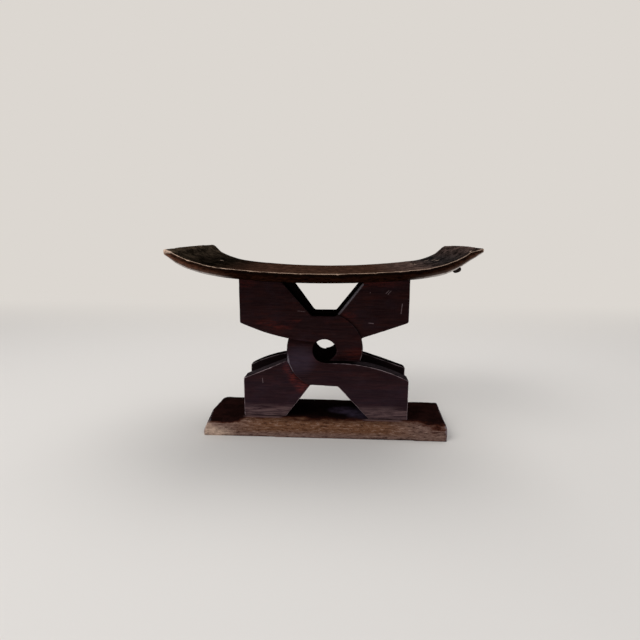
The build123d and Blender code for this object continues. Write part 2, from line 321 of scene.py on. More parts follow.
def points_of(mesh):
    """A mesh's points as an array with a row for each."""
    flat = np.empty(len(mesh.vertices) * 3)
    mesh.vertices.foreach_get("co", flat)
    return flat.reshape(-1, 3)


def fine_copy(node, name, spacing):
    """A copy of a solid as a closed mesh of even squares, spacing apart."""
    piece = show(bpy.data.objects.new(name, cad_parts[node].data.copy()))
    build = bmesh.new()
    build.from_mesh(piece.data)
    bmesh.ops.remove_doubles(build, verts=build.verts, dist=0.01 * MM)
    build.to_mesh(piece.data)
    build.free()
    squares = piece.modifiers.new("Squares", "REMESH")
    squares.mode = "VOXEL"
    squares.voxel_size = spacing
    return plain_mesh(piece)


def mark_free(piece, neighbours, reach=3.0 * MM, touching=0.15):
    """Give a piece "free": 0 where it touches a neighbour or the floor, 1 from reach away.

    A point within the share touching of reach counts as touching, because the mesh only nears the solid.
    """
    free = np.ones(len(piece.data.vertices))
    trees = [BVHTree.FromPolygons([v.co for v in solid.vertices], [p.vertices for p in solid.polygons])
             for solid in (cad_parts[n].data for n in neighbours)]
    boxes = [[np.array(corner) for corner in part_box(n)] for n in neighbours]
    points = points_of(piece.data)
    for tree, (low, high) in zip(trees, boxes):
        near = np.all((points > low - reach) & (points < high + reach), axis=1)
        for i in np.flatnonzero(near):
            gap = tree.find_nearest(points[i], reach)[3]
            if gap is not None:
                free[i] = min(free[i], max(0.0, gap / reach - touching) / (1 - touching))
    free = np.minimum(free, np.clip(points[:, 2] / reach, 0.0, 1.0))
    piece.data.attributes.new("free", "FLOAT", "POINT").data.foreach_set("value", free)


def worn_board(node, name, spacing, material, neighbours=(), **inputs):
    """A worn copy of a solid, in a material; inputs are the wear tree's, with _ for a space."""
    wear = bpy.context.scene.stool_wear
    piece = fine_copy(node, name, spacing)
    mark_free(piece, neighbours)
    finish = piece.modifiers.new("Wear", "NODES")
    finish.node_group = bpy.data.node_groups.get("Worn Board") or wear_tree()
    values = {"Patch": wear.patch, "Dent Size": wear.dent_size, "Nick Size": wear.nick_size,
              "Seed": wear.seed, "Wood": material}
    values.update({key.replace("_", " "): value for key, value in inputs.items()})
    for item in finish.node_group.interface.items_tree:
        if item.in_out == "INPUT" and item.name in values:
            finish[item.identifier] = values[item.name]
    plain_mesh(piece)
    piece.data.attributes.remove(piece.data.attributes["free"])
    return piece


def hand_over(piece, node):
    """Let a finished piece stand for its node."""
    piece.data.update()
    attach(piece, "root")
    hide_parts(node)


# ---------------------------------------------------------------- woods

def wood(name):
    """A new material's tree, its surface shader and the sockets that every wood starts from."""
    material = bpy.data.materials.new(name)
    material.use_nodes = True
    tree = material.node_tree
    tree.nodes.clear()
    shader = add_node(tree, "ShaderNodeBsdfPrincipled")
    add_node(tree, "ShaderNodeOutputMaterial", {"Surface": shader.outputs[0]})
    place = add_node(tree, "ShaderNodeTexCoord").outputs["Object"]
    return material, tree, shader, place


def attribute(tree, name):
    """A number that the wear tree or the warp left on the surface."""
    return add_node(tree, "ShaderNodeAttribute", attribute_name=name).outputs["Fac"]


def axis_of(tree, vector, axis):
    """One of a vector's three numbers."""
    return add_node(tree, "ShaderNodeSeparateXYZ", {0: vector}).outputs[axis]


def figure(tree, place, seed):
    """The grain of a flat-sawn board along X: broad bands, fine fibres and short pores, each 0 to 1.

    Real fibres and pores are a few tenths of a millimetre across; these are coarser, so that they show.
    """
    woods = bpy.context.scene.stool_wood
    sway = noise(tree, place, (0.12, 0.05, 0.05), 2.0, seed=seed)
    swayed = vector_maths(tree, "ADD", place, vector_maths(tree, "MULTIPLY", sway, (0.0, 0.012, 0.012)))
    pitch = (woods.grain_length, woods.grain_spacing, woods.grain_spacing)
    bands = eased(tree, noise(tree, swayed, pitch, 4.0, 0.6, seed + 3.0), 0.3, 0.7)
    fibres = noise(tree, swayed, (40 * MM, 0.9 * MM, 0.9 * MM), 3.0, 0.6, seed + 5.0)
    pores = eased(tree, noise(tree, swayed, (9 * MM, 0.8 * MM, 0.8 * MM), 1.0, 0.5, seed + 9.0), 0.62, 0.7)
    return bands, fibres, pores


def raised(tree, shader, heights):
    """Bump a shader by heights, each a socket and its depth in metres."""
    normal = None
    for height, depth in heights:
        inputs = {"Height": height, "Distance": depth, "Strength": 1.0}
        if normal is not None:
            inputs["Normal"] = normal
        normal = add_node(tree, "ShaderNodeBump", inputs).outputs[0]
    tree.links.new(normal, shader.inputs["Normal"])


def stroke(tree, place, start, end, width):
    """1 on a scratch from start to end, width across, fading to 0 at its sides; points in millimetres."""
    a = Vector(start) * MM
    run = (Vector(end) * MM) - a
    away = vector_maths(tree, "SUBTRACT", place, tuple(a))
    share = maths(tree, "DIVIDE", vector_number(tree, "DOT_PRODUCT", away, tuple(run)), run.length_squared,
                  clamp=True)
    gap = vector_number(tree, "DISTANCE", away, shaded(tree, tuple(run), share))
    return eased(tree, gap, 0.15 * width * MM, 0.5 * width * MM, 1.0, 0.0)


def strokes(tree, place, marks):
    """1 on any of several scratches, broken up as a dry scrape is."""
    total = 0.0
    for mark in marks:
        total = maths(tree, "MAXIMUM", stroke(tree, place, *mark), total)
    broken = eased(tree, noise(tree, place, 1.5 * MM, 2.0), 0.35, 0.55, 0.35, 1.0)
    return maths(tree, "MULTIPLY", total, broken)


def spot(tree, place, middle, size):
    """1 in the middle of a soft-edged patch, 0 from size away; millimetres."""
    away = vector_maths(tree, "SUBTRACT", place, tuple(Vector(middle) * MM))
    scaled = vector_maths(tree, "MULTIPLY", away, tuple(1 / (s * MM) for s in size))
    return eased(tree, vector_number(tree, "LENGTH", scaled), 0.3, 1.0, 1.0, 0.0)


def product(tree, *values):
    """Several numbers or sockets multiplied together."""
    total = values[0]
    for value in values[1:]:
        total = maths(tree, "MULTIPLY", total, value)
    return total


def patches(tree, place, marks):
    """1 in the middle of any of several soft-edged patches; each mark is its middle and size."""
    total = 0.0
    for middle, size in marks:
        total = maths(tree, "MAXIMUM", spot(tree, place, middle, size), total)
    return total


def facing(tree, axis):
    """How far the surface faces along an axis, from -1 to 1."""
    return axis_of(tree, add_node(tree, "ShaderNodeNewGeometry").outputs["Normal"], axis)


def rounding(tree, least, most):
    """1 on the rounded arris between a board's front or back face and an edge, 0 on both faces.

    It starts where the surface faces the front or back by least and ends where it does by most.
    """
    front_on = maths(tree, "ABSOLUTE", facing(tree, 1))
    inner = eased(tree, front_on, most - 0.12, most, 1.0, 0.0)
    return product(tree, eased(tree, front_on, least, least + 0.2), inner)


def shaded(tree, colour, share):
    """A colour made darker or lighter, by a share of it."""
    return add_node(tree, "ShaderNodeVectorMath", {0: colour, "Scale": share}, operation="SCALE").outputs[0]


def panel_wood():
    """Blackened sese, waxed: painted shade in the cuts and between the boards, red-brown grain on the faces,
    and worn arrises with painted highlights and sheens.
    """
    woods = bpy.context.scene.stool_wood
    material, tree, shader, place = wood("blackened_sese_waxed")
    bands, fibres, pores = figure(tree, place, 1.0)
    side = axis_of(tree, place, 0)
    depth = axis_of(tree, place, 1)
    height = axis_of(tree, place, 2)
    flat = vector_maths(tree, "MULTIPLY", place, (1.0, 0.0, 1.0))
    from_hole = vector_number(tree, "DISTANCE", flat, tuple(Vector(KNOT_MIDDLE) * MM))

    # Red-brown where the stain is thin, along the grain and in a few patches, and violet elsewhere
    cloudy = eased(tree, noise(tree, place, (70 * MM, 40 * MM, 22 * MM), 4.0, 0.65, 4.0), 0.42, 0.66)
    thin = product(tree, bands, maths(tree, "MULTIPLY_ADD", cloudy, 0.8, 0.2))
    colour = mixed(tree, thin, tuple(woods.stain), tuple(woods.red_stain))
    cool = eased(tree, noise(tree, place, (60 * MM, 40 * MM, 40 * MM), 4.0, 0.7, 14.0), 0.45, 0.75, 0.0, 0.5)
    colour = mixed(tree, cool, colour, tuple(woods.violet))
    streaky = eased(tree, noise(tree, place, (20 * MM, 9 * MM, 2.5 * MM), 5.0, 0.8, 12.0), 0.42, 0.6)
    beyond = maths(tree, "MAXIMUM", eased(tree, from_hole, 78 * MM, 82 * MM), eased(tree, side, 0.0, 10 * MM))
    faint = product(tree, patches(tree, flat, FAINT_RED_PATCHES), 0.4)
    reddest = product(tree, maths(tree, "MAXIMUM", patches(tree, flat, RED_PATCHES), faint), streaky, beyond)
    colour = mixed(tree, reddest, colour, tuple(woods.red_patch))
    colour = mixed(tree, eased(tree, fibres, 0.4, 0.7, 0.0, 0.35), colour, SOOT_AND_SHADE)
    # Cool haze: wax bloom low down, and a painted sheen on the strand left of the hole, where it tilts back
    # towards the light
    low = eased(tree, height, 60 * MM, 170 * MM, 0.25, 0.0)
    lobe = product(tree, spot(tree, place, *SHEEN_STRAND), 0.65)
    bloom_and_sheen = product(tree, maths(tree, "MAXIMUM", low, lobe), maths(tree, "MULTIPLY_ADD", cloudy, 0.4, 0.6))
    colour = mixed(tree, bloom_and_sheen, colour, tuple(woods.bloom_and_sheen))

    # Dust and scuffs that feet and sweeping leave just above the base
    scuffs = eased(tree, noise(tree, place, (50 * MM, 20 * MM, 2.2 * MM), 5.0, 0.75, 8.0), 0.38, 0.6)
    dusty = product(tree, scuffs, eased(tree, height, 46 * MM, 64 * MM, 0.75, 0.05))
    colour = mixed(tree, dusty, colour, tuple(woods.dust))

    # Painted shade: cuts, ends and the gap between the boards are darkened to soot-black, except for a
    # painted grey sheen on the top faces of the feet
    cut = eased(tree, maths(tree, "ABSOLUTE", facing(tree, 1)), 0.5, 0.8, 1.0, 0.0)
    between = product(tree, eased(tree, depth, -14 * MM, 0.0), eased(tree, depth, 45 * MM, 62 * MM, 1.0, 0.0))
    colour = mixed(tree, maths(tree, "MAXIMUM", cut, product(tree, between, 0.7)), colour, SOOT_AND_SHADE)
    ledge_sheen = product(tree, eased(tree, facing(tree, 2), 0.6, 0.85), eased(tree, depth, -35 * MM, -31 * MM),
                    eased(tree, depth, -9 * MM, -4 * MM, 1.0, 0.0), eased(tree, from_hole, 60 * MM, 85 * MM),
                    eased(tree, height, 150 * MM, 170 * MM, 1.0, 0.0))
    colour = mixed(tree, product(tree, ledge_sheen, eased(tree, streaky, 0.0, 1.0, 0.6, 1.0)), colour,
                   tuple(woods.ledge_sheen))

    # Worn arrises with painted highlights, brightest on the front feet, and scratches
    arris = eased(tree, attribute(tree, "arris"), 0.2, 0.5)
    clear = maths(tree, "MAXIMUM", eased(tree, from_hole, 84 * MM, 94 * MM, 0.15, 1.0),
                  eased(tree, side, 15 * MM, 30 * MM))
    kept = product(tree, eased(tree, height, 120 * MM, 185 * MM, 0.85, 0.05), clear,
                   eased(tree, from_hole, 24.5 * MM, 28 * MM), eased(tree, depth, 0.0, 40 * MM, 1.0, 0.6))
    broken = eased(tree, noise(tree, place, (14 * MM, 8 * MM, 14 * MM), 3.0, 0.6, 2.0), 0.34, 0.56, 0.25, 1.0)
    rub_and_highlight = product(tree, arris, rounding(tree, 0.3, 0.95), kept, broken)
    in_front = eased(tree, depth, -25 * MM, -15 * MM, 1.0, 0.0)
    scratched = product(tree, strokes(tree, flat, PANEL_SCRATCHES), in_front, 0.5)
    colour = mixed(tree, maths(tree, "MAXIMUM", rub_and_highlight, scratched), colour, tuple(woods.rubbed_and_highlit))
    inward = eased(tree, depth, -39 * MM, -30 * MM, 0.75, 0.0)
    colour = mixed(tree, product(tree, strokes(tree, flat, PANEL_SHEENS), inward), colour, tuple(woods.sheen))
    colour = mixed(tree, product(tree, attribute(tree, "hollow"), 0.6), colour, SOOT_AND_SHADE)
    tree.links.new(colour, shader.inputs["Base Color"])

    # A little wax shines on the faces and none in the cuts. WAX_SHINE is the factor of the last
    # multiplication, because glTF keeps only that of a linked level.
    shine = maths(tree, "MULTIPLY", maths(tree, "SUBTRACT", 1.0, cut), WAX_SHINE)
    tree.links.new(shine, shader.inputs["Specular IOR Level"])
    dull = maths(tree, "MULTIPLY_ADD", fibres, 0.2, 0.42)
    tree.links.new(maths(tree, "MULTIPLY_ADD", dusty, 0.3, dull, clamp=True), shader.inputs["Roughness"])
    raised(tree, shader, [(bands, 0.12 * MM), (fibres, 0.07 * MM), (pores, -0.12 * MM)])
    return material


# The blackest the stain gets, in corners, and painted shade in cuts, between the boards, under the seat and
# behind the front board
SOOT_AND_SHADE = linear("080504")

# Shine of the old wax on the knot boards' faces
WAX_SHINE = 0.025

# Middle of the front knot board's hole as seen from the front, in millimetres
KNOT_MIDDLE = (3.0, 0.0, 177.5)

# Where a painted sheen lies on the strand left of the hole: middle and size, in millimetres
SHEEN_STRAND = ((-50.0, -39.5, 160.0), (48.0, 22.0, 50.0))

# Places on the knot boards where the red-brown shows most, as seen from the front: middle and size,
# in millimetres
RED_PATCHES = [
    ((-69.0, 0.0, 138.0), (20.0, 10.0, 18.0)),
    ((-57.0, 0.0, 120.0), (23.0, 10.0, 22.0)),
    ((-43.0, 0.0, 104.0), (24.0, 10.0, 24.0)),
]
FAINT_RED_PATCHES = [
    ((52.0, 0.0, 250.0), (24.0, 10.0, 14.0)),
    ((66.0, 0.0, 169.0), (32.0, 10.0, 22.0)),
    ((-92.0, 0.0, 227.0), (44.0, 10.0, 10.0)),
    ((-118.0, 0.0, 236.0), (44.0, 10.0, 8.0)),
    ((-30.0, 0.0, 238.0), (60.0, 10.0, 9.0)),
    ((100.0, 0.0, 318.0), (80.0, 10.0, 12.0)),
    ((-160.0, 0.0, 318.0), (30.0, 10.0, 16.0)),
]

# Scratches on the front knot board, as seen from the front: ends and width, in millimetres
PANEL_SCRATCHES = [
    ((126.2, 0.0, 298.5), (132.0, 0.0, 304.6), 1.7),
    ((130.2, 0.0, 296.6), (136.0, 0.0, 303.7), 1.7),
    ((157.5, 0.0, 258.0), (159.6, 0.0, 277.5), 2.2),
    ((93.6, 0.0, 237.3), (102.7, 0.0, 236.6), 2.4),
    ((-52.0, 0.0, 261.2), (-37.0, 0.0, 259.8), 1.0),
    ((-127.6, 0.0, 117.0), (-126.6, 0.0, 107.0), 1.5),
    ((94.2, 0.0, 299.0), (94.8, 0.0, 300.5), 1.6),
]

# Cool sheens along arrises of the front knot board, as the scratches are
PANEL_SHEENS = [
    ((32.4, 0.0, 255.8), (79.0, 0.0, 316.2), 7.0),
    ((-74.5, 0.0, 189.5), (-76.0, 0.0, 174.0), 4.5),
    ((-76.0, 0.0, 174.0), (-72.0, 0.0, 152.5), 6.0),
    ((-72.0, 0.0, 152.5), (-62.0, 0.0, 132.0), 1.5),
    ((17.0, 0.0, 158.0), (25.0, 0.0, 170.0), 2.5),
    ((25.0, 0.0, 170.0), (26.0, 0.0, 179.0), 1.5),
]


def seat_wood():
    """Blackened sese, sat on for years: brown on top with painted shade where its ends rise, redder at its
    edges, bare at its tips.
    """
    woods = bpy.context.scene.stool_wood
    material, tree, shader, place = wood("blackened_sese_seat")
    bands, fibres, pores = figure(tree, place, 11.0)
    arris = attribute(tree, "arris")
    through = attribute(tree, "through")
    upward = facing(tree, 2)
    side = axis_of(tree, place, 0)
    outer = eased(tree, maths(tree, "ABSOLUTE", side), 150 * MM, 205 * MM)

    # Mottled top, the more so towards its ends
    mottle = eased(tree, noise(tree, place, (15 * MM, 38 * MM, 38 * MM), 7.0, 0.8, 6.0), 0.41, 0.61)
    least = eased(tree, outer, 0.0, 1.0, 0.65, 0.3)
    tone = maths(tree, "MULTIPLY_ADD", mottle, eased(tree, outer, 0.0, 1.0, 0.8, 1.9), least)

    # Brown in the middle, olive at the left end and dusty on the right, and painted shade, darkest where the
    # ends rise
    olive = eased(tree, side, -260 * MM, -180 * MM, 1.0, 0.0)
    colour = mixed(tree, olive, tuple(woods.seat_brown), tuple(woods.seat_olive))
    colour = mixed(tree, eased(tree, side, 90 * MM, 170 * MM), colour, tuple(woods.seat_dusty))
    # Painted shade where each end rises
    for (middle, reach), stain in ((LEFT_RISE_SHADE, woods.seat_left_rise_shade), (RIGHT_RISE_SHADE, woods.seat_right_rise_shade)):
        away = maths(tree, "ABSOLUTE", maths(tree, "SUBTRACT", side, middle * MM))
        colour = mixed(tree, eased(tree, away, 0.0, reach * MM, 1.0, 0.0), colour, tuple(stain))
    colour = shaded(tree, colour, tone)

    # Edges, with painted shade that darkens their middle, so they are redder towards the ends; darkest at the
    # top; a painted grey sheen low down near the ends; and painted shade on the underside
    flecks = noise(tree, place, (11 * MM, 8 * MM, 3 * MM), 5.0, 0.75, 19.0)
    red = maths(tree, "MAXIMUM", eased(tree, side, -310 * MM, -135 * MM, 1.0, 0.0),
                eased(tree, side, 170 * MM, 300 * MM, 0.0, 0.4))
    edge = mixed(tree, red, tuple(woods.seat_edge_shaded), tuple(woods.seat_edge_red))
    edge = shaded(tree, edge, eased(tree, flecks, 0.36, 0.64, 0.35, 1.9))
    greyer = product(tree, eased(tree, through, 0.1, 0.55, 1.0, 0.0), outer, 0.35)
    edge = mixed(tree, greyer, edge, tuple(woods.seat_low_sheen))
    edge = mixed(tree, eased(tree, through, 0.45, 0.75, 0.0, 0.75), edge, SOOT_AND_SHADE)
    colour = mixed(tree, eased(tree, upward, 0.3, 0.7), edge, colour)
    colour = mixed(tree, eased(tree, upward, -0.8, -0.5, 0.85, 0.0), colour, SOOT_AND_SHADE)

    # Worn arrises with painted highlights: tan along the top, and a painted grey sheen along the underside's
    # ends
    broken = eased(tree, noise(tree, place, (17 * MM, 9 * MM, 9 * MM), 3.0, 0.6, 2.0), 0.32, 0.56, 0.3, 1.0)
    sharp = product(tree, eased(tree, arris, 0.2, 0.5), rounding(tree, 0.35, 0.82))
    over = eased(tree, upward, -0.1, 0.35)
    most = eased(tree, side, -200 * MM, -60 * MM, 0.95, 0.65)
    colour = mixed(tree, product(tree, sharp, over, broken, most), colour, tuple(woods.seat_rub_and_highlight))
    underside_sheen = product(tree, eased(tree, through, 0.08, 0.24, 1.0, 0.0), eased(tree, upward, -0.95, -0.6),
                         outer, eased(tree, flecks, 0.35, 0.5, 0.5, 1.0))
    colour = mixed(tree, underside_sheen, colour, tuple(woods.seat_under_sheen))

    # Bare wood at the front corners, and dry scratches
    ragged = eased(tree, noise(tree, place, 5 * MM, 3.0, 0.6, 5.0), 0.3, 0.55, 0.2, 1.0)
    bare = product(tree, patches(tree, place, BARE_TIPS), ragged)
    from_above = vector_maths(tree, "MULTIPLY", place, (1.0, 1.0, 0.0))
    dry = product(tree, strokes(tree, from_above, SEAT_SCRATCHES), eased(tree, upward, 0.3, 0.7), 0.6)
    bare = maths(tree, "MAXIMUM", bare, dry)
    colour = mixed(tree, bare, colour, tuple(woods.bare))
    tree.links.new(colour, shader.inputs["Base Color"])

    # Use has dulled the wax: any shine would veil the dark stain with grey at a low angle
    shader.inputs["Specular IOR Level"].default_value = 0.0
    dull = maths(tree, "MULTIPLY_ADD", fibres, 0.2, 0.5)
    tree.links.new(maths(tree, "MULTIPLY_ADD", bare, 0.2, dull, clamp=True), shader.inputs["Roughness"])
    raised(tree, shader, [(bands, 0.2 * MM), (mottle, 0.5 * MM), (fibres, 0.1 * MM), (pores, -0.15 * MM)])
    return material


# Where the seat's ends rise and the painted shade on top is darkest: middle and reach along it, in
# millimetres
LEFT_RISE_SHADE = (-214, 110)
RIGHT_RISE_SHADE = (232, 75)

# Bare places at the seat's front corners: middle and size, in millimetres
BARE_TIPS = [
    ((-281.0, -150.5, 385.0), (13.0, 14.0, 9.0)),
    ((-270.0, -150.5, 383.5), (14.0, 8.0, 5.0)),
    ((282.0, -150.5, 388.5), (6.0, 8.0, 7.0)),
    ((266.0, -150.5, 389.0), (13.0, 6.0, 4.0)),
]

# Dry scratches on the seat's top, as seen from above: ends and width, in millimetres
SEAT_SCRATCHES = [
    ((218.3, 63.5, 0.0), (224.2, 55.0, 0.0), 4.5),
    ((226.3, 22.0, 0.0), (232.6, 22.5, 0.0), 3.5),
    ((227.2, -4.5, 0.0), (231.8, -20.5, 0.0), 3.5),
    ((183.2, 38.0, 0.0), (185.8, 20.0, 0.0), 3.0),
    ((189.2, 20.0, 0.0), (190.8, 2.0, 0.0), 3.0),
    ((-219.5, 6.5, 0.0), (-216.0, 9.0, 0.0), 5.0),
    ((262.0, -128.0, 0.0), (268.0, -112.0, 0.0), 4.0),
]


def base_wood():
    """Blackened sese, scuffed by feet: the stain is worn through to brown along the front."""
    woods = bpy.context.scene.stool_wood
    material, tree, shader, place = wood("scuffed_sese_base")
    bands, fibres, pores = figure(tree, place, 21.0)
    arris = attribute(tree, "arris")
    side = axis_of(tree, place, 0)
    depth = axis_of(tree, place, 1)
    height = axis_of(tree, place, 2)

    # Dark top, with painted shade under and behind the front board, a painted cool sheen behind it, and
    # redder towards the front
    middle = maths(tree, "ABSOLUTE", side)
    cloudy = noise(tree, place, (30 * MM, 24 * MM, 24 * MM), 5.0, 0.7, 17.0)
    colour = mixed(tree, eased(tree, cloudy, 0.4, 0.6, 0.0, 0.6), tuple(woods.base_stain_and_shadow), SOOT_AND_SHADE)
    behind_board_shade = eased(tree, middle, 90 * MM, 150 * MM, 0.8, 0.1)
    colour = mixed(tree, product(tree, eased(tree, depth, -44 * MM, -20 * MM), behind_board_shade), colour, SOOT_AND_SHADE)
    # Painted cool sheen on the top behind the front board
    sheen_patches = product(tree, patches(tree, place, BASE_SHEENS), eased(tree, cloudy, 0.4, 0.6, 0.3, 1.0))
    colour = mixed(tree, sheen_patches, colour, tuple(woods.bloom_and_sheen))

    # The front, worn to orange-brown in the middle and to a greyer brown lower down and at the ends, up
    # to a ragged line that comes further forward near both ends
    ragged = maths(tree, "SUBTRACT", noise(tree, place, (34 * MM, 20 * MM, 20 * MM), 5.0, 0.7, 3.0), 0.5)
    left = product(tree, eased(tree, side, -195 * MM, -150 * MM, 1.0, 0.0),
                   eased(tree, height, 22 * MM, 35 * MM))
    right = eased(tree, side, 200 * MM, 228 * MM, 0.0, 0.35)
    line = maths(tree, "MULTIPLY_ADD", maths(tree, "ADD", left, right), 45 * MM, depth)
    line = maths(tree, "MULTIPLY_ADD", ragged, 80 * MM, line)
    worn = eased(tree, line, -68 * MM, -32 * MM, 1.0, 0.0)
    greyer = maths(tree, "MAXIMUM", eased(tree, height, 4 * MM, 18 * MM, 0.85, 0.0),
                   eased(tree, middle, 110 * MM, 220 * MM, 0.0, 0.8))
    brown = mixed(tree, greyer, tuple(woods.base_worn), tuple(woods.base_grey))
    streaks = noise(tree, place, (14 * MM, 4 * MM, 3 * MM), 6.0, 0.85, 13.0)
    brown = mixed(tree, eased(tree, streaks, 0.38, 0.5, 0.9, 0.0), brown, tuple(woods.base_stain_and_shadow))
    brown = mixed(tree, eased(tree, streaks, 0.52, 0.64, 0.0, 0.85), brown, tuple(woods.base_light))
    fringe = eased(tree, worn, 0.0, 0.45, 0.0, 0.8)
    colour = mixed(tree, fringe, colour, tuple(woods.base_fringe))
    colour = mixed(tree, eased(tree, worn, 0.25, 0.95), colour, brown)
    # Painted contact shadow: a ragged dark band along the bottom of the base, stronger on the right
    contact_shadow = product(tree, eased(tree, height, 1.5 * MM, 5 * MM, 1.0, 0.0), eased(tree, ragged, -0.1, 0.1),
                   eased(tree, side, -60 * MM, 90 * MM, 0.2, 0.85))
    colour = mixed(tree, contact_shadow, colour, tuple(woods.base_stain_and_shadow))

    # Bare front left corner, worn end arrises with a painted sheen, and dust along the front board's feet
    pale = product(tree, patches(tree, place, BARE_CORNERS), eased(tree, streaks, 0.36, 0.6, 0.15, 0.75))
    colour = mixed(tree, pale, colour, tuple(woods.bare))
    broken = eased(tree, noise(tree, place, 7 * MM, 4.0, 0.7, 2.0), 0.45, 0.6)
    rub_and_highlight = product(tree, eased(tree, arris, 0.2, 0.5), broken, eased(tree, middle, 225 * MM, 240 * MM), 0.6)
    colour = mixed(tree, rub_and_highlight, colour, tuple(woods.sheen))
    ahead = product(tree, eased(tree, depth, -52 * MM, -46 * MM),
                    eased(tree, depth, -41 * MM, -39.5 * MM, 1.0, 0.0))
    beside = product(tree, eased(tree, middle, 80 * MM, 95 * MM),
                     eased(tree, middle, 158 * MM, 172 * MM, 1.0, 0.0))
    colour = mixed(tree, product(tree, ahead, beside, 0.6), colour, tuple(woods.dust))
    tree.links.new(colour, shader.inputs["Base Color"])

    # Dry and scuffed, with no shine, as on the seat
    shader.inputs["Specular IOR Level"].default_value = 0.0
    tree.links.new(maths(tree, "MULTIPLY_ADD", worn, 0.25, 0.5), shader.inputs["Roughness"])
    raised(tree, shader, [(bands, 0.3 * MM), (streaks, 1.0 * MM), (fibres, 0.15 * MM), (pores, -0.2 * MM)])
    return material


# Bare places on the base, and a painted cool sheen on its top behind the front board: middle and size, in
# millimetres
BARE_CORNERS = [
    ((-252.0, -72.0, 12.0), (36.0, 26.0, 26.0)),
    ((-226.0, -72.0, 8.0), (52.0, 20.0, 18.0)),
]
BASE_SHEENS = [
    ((76.0, -10.0, 31.0), (34.0, 46.0, 20.0)),
    ((46.0, 6.0, 31.0), (44.0, 30.0, 20.0)),
]


def turned_wood(name, hex_colour):
    """Sese as it is turned for a dowel or a peg: one colour, darker along the bands of its grain."""
    material, tree, shader, place = wood(name)
    shader.inputs["Specular IOR Level"].default_value = 0.1
    bands, fibres, _ = figure(tree, place, 31.0)
    light = linear(hex_colour)
    dark = tuple(c * 0.55 for c in light[:3]) + (1.0,)
    tree.links.new(mixed(tree, bands, dark, light), shader.inputs["Base Color"])
    tree.links.new(maths(tree, "MULTIPLY_ADD", fibres, 0.2, 0.5), shader.inputs["Roughness"])
    raised(tree, shader, [(fibres, 0.08 * MM)])
    return material


# ---------------------------------------------------------------- making the pieces

class STOOL_OT_seat(bpy.types.Operator):
    """Make the curved seat, with its worn tips"""
    bl_idname = "stool.seat"
    bl_label = "Seat"

    def execute(self, context):
        piece = worn_board("seat", "seat_board", context.scene.stool_wear.seat_mesh, seat_wood(),
                           ("front_panel", "rear_panel"), Dent_Depth=1.2 * MM, Nick_Depth=1.2 * MM)
        self.warp(piece)
        hand_over(piece, "seat")
        return {"FINISHED"}

    def warp(self, piece, slice_width=2 * MM, nose_depth=60 * MM):
        """Lift or lower the seat by the columns of SEAT_WARP, and give it the attribute "through"."""
        points = points_of(piece.data)
        along, across, height = points.T
        places, front, back, nose_top, nose_under = np.array(SEAT_WARP).T * MM
        half_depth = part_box("seat")[1][1]
        backward = np.clip(0.5 + 0.5 * across / half_depth, 0.0, 1.0)
        nose = np.clip(1.0 - (across + half_depth) / nose_depth, 0.0, 1.0)

        # How far up each point is, from the underside to the top of its own slice of the board
        slices = ((along - along.min()) / slice_width).astype(int)
        under = np.full(slices.max() + 1, np.inf)
        top = np.full(slices.max() + 1, -np.inf)
        np.minimum.at(under, slices, height)
        np.maximum.at(top, slices, height)
        upward = (height - under[slices]) / (top[slices] - under[slices])

        lift = (1 - backward) * np.interp(along, places, front) + backward * np.interp(along, places, back)
        lift += nose * upward * np.interp(along, places, nose_top)
        lift += nose * (1 - upward) * np.interp(along, places, nose_under)
        points[:, 2] += lift
        piece.data.vertices.foreach_set("co", points.ravel())
        piece.data.attributes.new("through", "FLOAT", "POINT").data.foreach_set("value", upward)


# How the seat has warped and worn, in millimetres: place along it, lift of its front edge, lift of its
# back edge, and more lift of the top and of the underside near the front edge
SEAT_WARP = [
    (-281.0, -5.5, 0.5, 0.0, 6.5),
    (-277.0, -3.5, 2.5, 0.0, 5.0),
    (-272.0, -2.0, 3.5, 0.0, 3.0),
    (-266.0, 0.0, 1.5, 0.0, -0.5),
    (-258.0, 0.0, -2.0, 0.0, -2.2),
    (-245.0, 0.0, -2.0, 0.5, -2.6),
    (-215.0, 0.0, -1.0, 2.3, -1.5),
    (-190.0, 0.0, 0.0, 2.2, -0.3),
    (-145.0, 0.0, 0.0, 2.2, -0.7),
    (145.0, 0.0, 0.0, 1.8, -0.8),
    (190.0, 0.0, 0.0, 1.8, -1.0),
    (218.0, 0.9, -3.0, 2.2, -2.6),
    (233.0, 1.1, -3.8, 2.6, -1.5),
    (251.0, 1.2, -4.7, 3.4, 2.4),
    (258.0, 1.2, -4.5, 5.6, 4.2),
    (273.0, 0.3, 0.0, 0.6, 7.0),
    (281.0, -1.5, 0.5, 0.0, 9.0),
]


class STOOL_OT_knot_boards(bpy.types.Operator):
    """Make the front and rear knot boards"""
    bl_idname = "stool.knot_boards"
    bl_label = "Knot Boards"

    def execute(self, context):
        finish = panel_wood()
        for node in ("front_panel", "rear_panel"):
            piece = worn_board(node, node + "_board", context.scene.stool_wear.panel_mesh, finish,
                               ("seat", "base"), Dent_Depth=1.0 * MM, Nick_Depth=0.8 * MM)
            hand_over(piece, node)
        return {"FINISHED"}


class STOOL_OT_base(bpy.types.Operator):
    """Make the worn base board"""
    bl_idname = "stool.base"
    bl_label = "Base"

    def execute(self, context):
        piece = worn_board("base", "base_board", context.scene.stool_wear.panel_mesh, base_wood(),
                           ("front_panel", "rear_panel"), Heavy_Passes=8, Dent_Depth=2.0 * MM,
                           Nick_Depth=2.0 * MM)
        hand_over(piece, "base")
        return {"FINISHED"}


